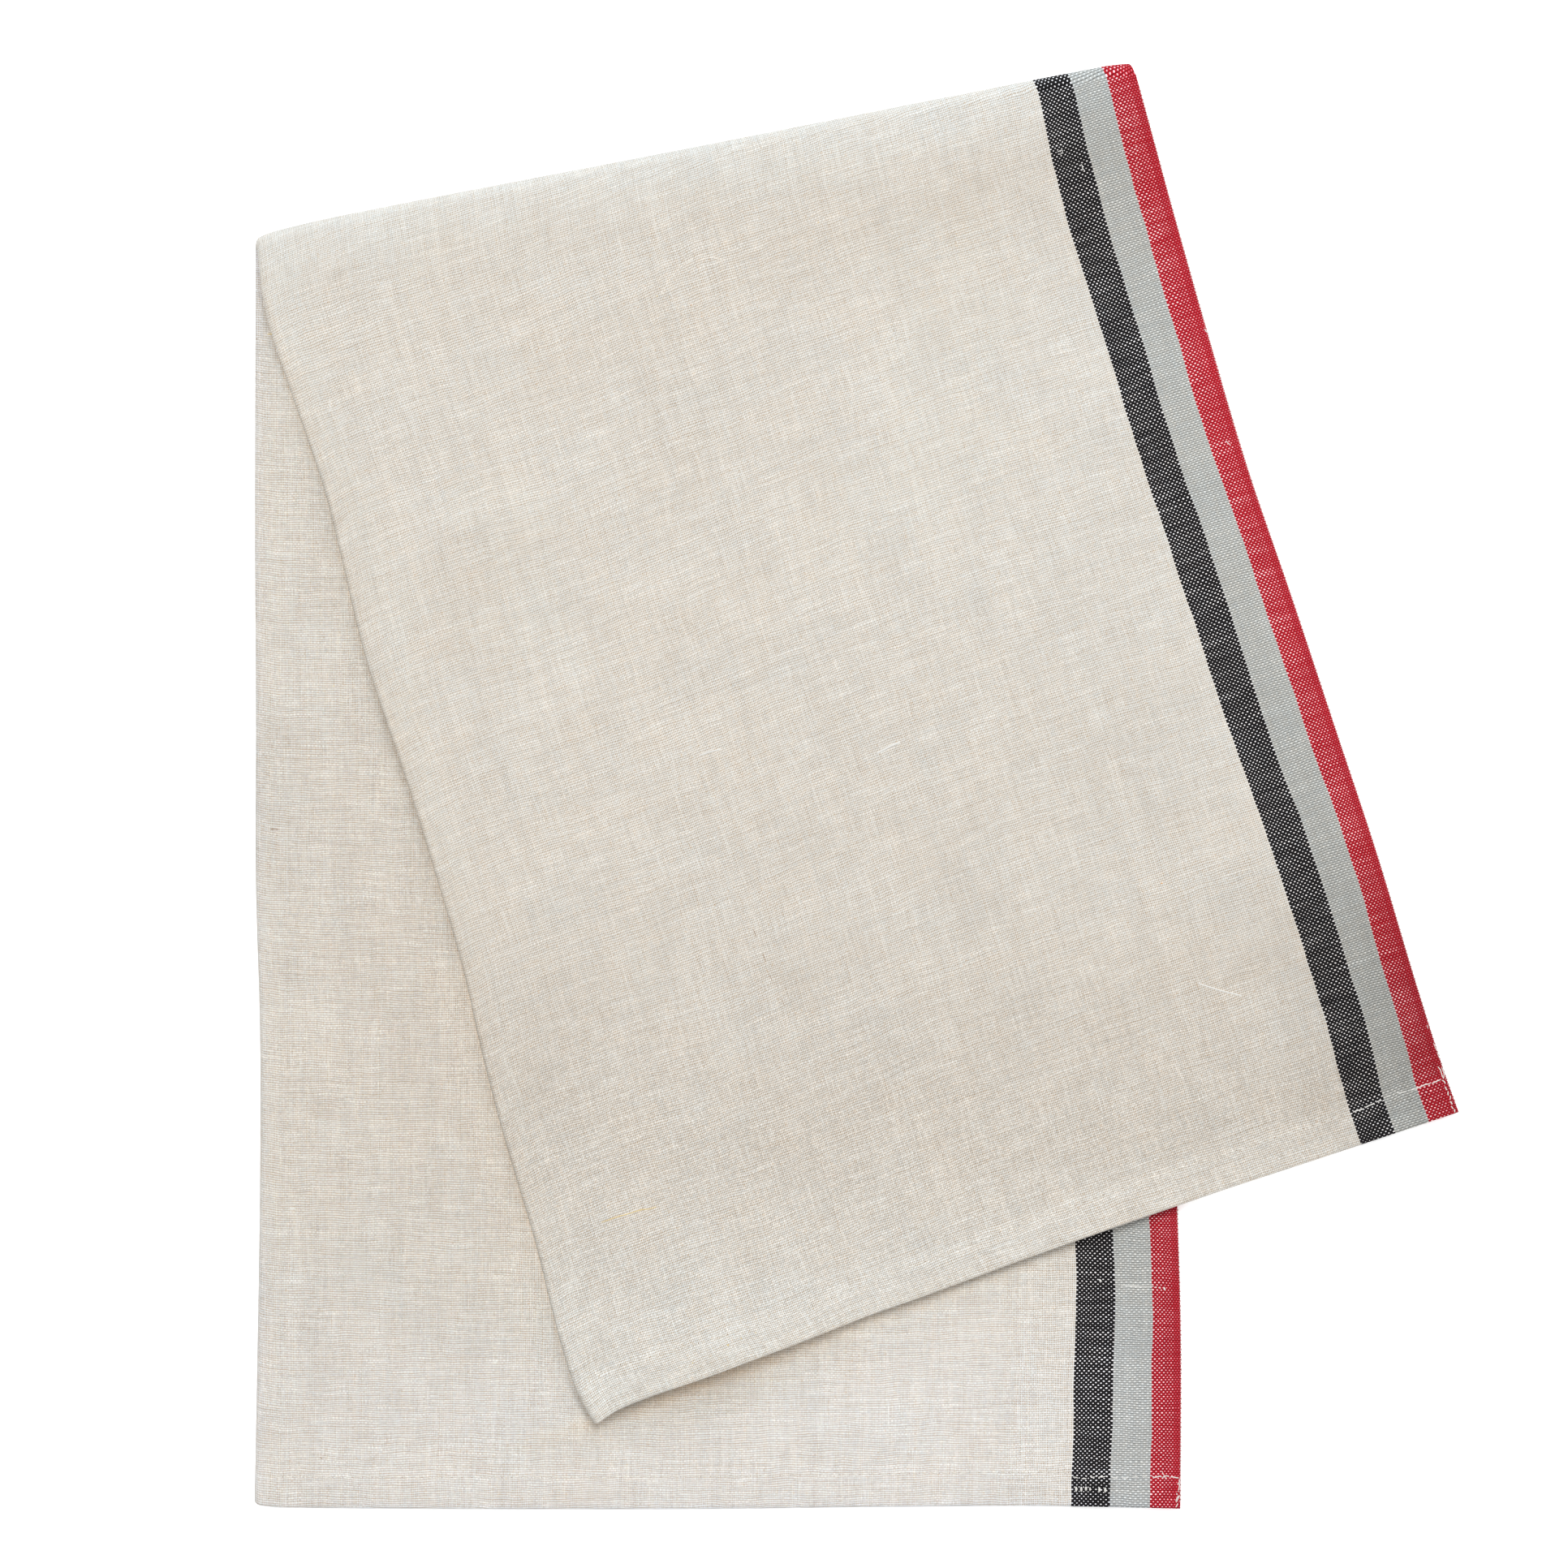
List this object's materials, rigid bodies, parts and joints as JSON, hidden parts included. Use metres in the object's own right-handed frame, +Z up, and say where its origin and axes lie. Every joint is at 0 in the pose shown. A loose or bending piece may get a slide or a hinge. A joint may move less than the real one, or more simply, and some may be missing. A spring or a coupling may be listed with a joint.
{
  "type": "folded linen tea towel",
  "caption": "Striped linen tea towel folded in half lengthwise, then loosely across with the flap swung to one side, lying flat.",
  "frame": {"origin": "middle of the footprint, on the surface that the towel lies on", "axes": "+Y from the lower hem towards the cross fold, the longest side of the folded towel; +Z up, out of the surface; +X towards the selvedges"},
  "size_m": [0.3316, 0.398, 0.0068],
  "materials": {
    "linen": "plain-woven natural linen with black, grey and red warp stripes along the selvedges"
  },
  "bodies": {
    "root": {"towel": "linen"}
  },
  "joints": []
}
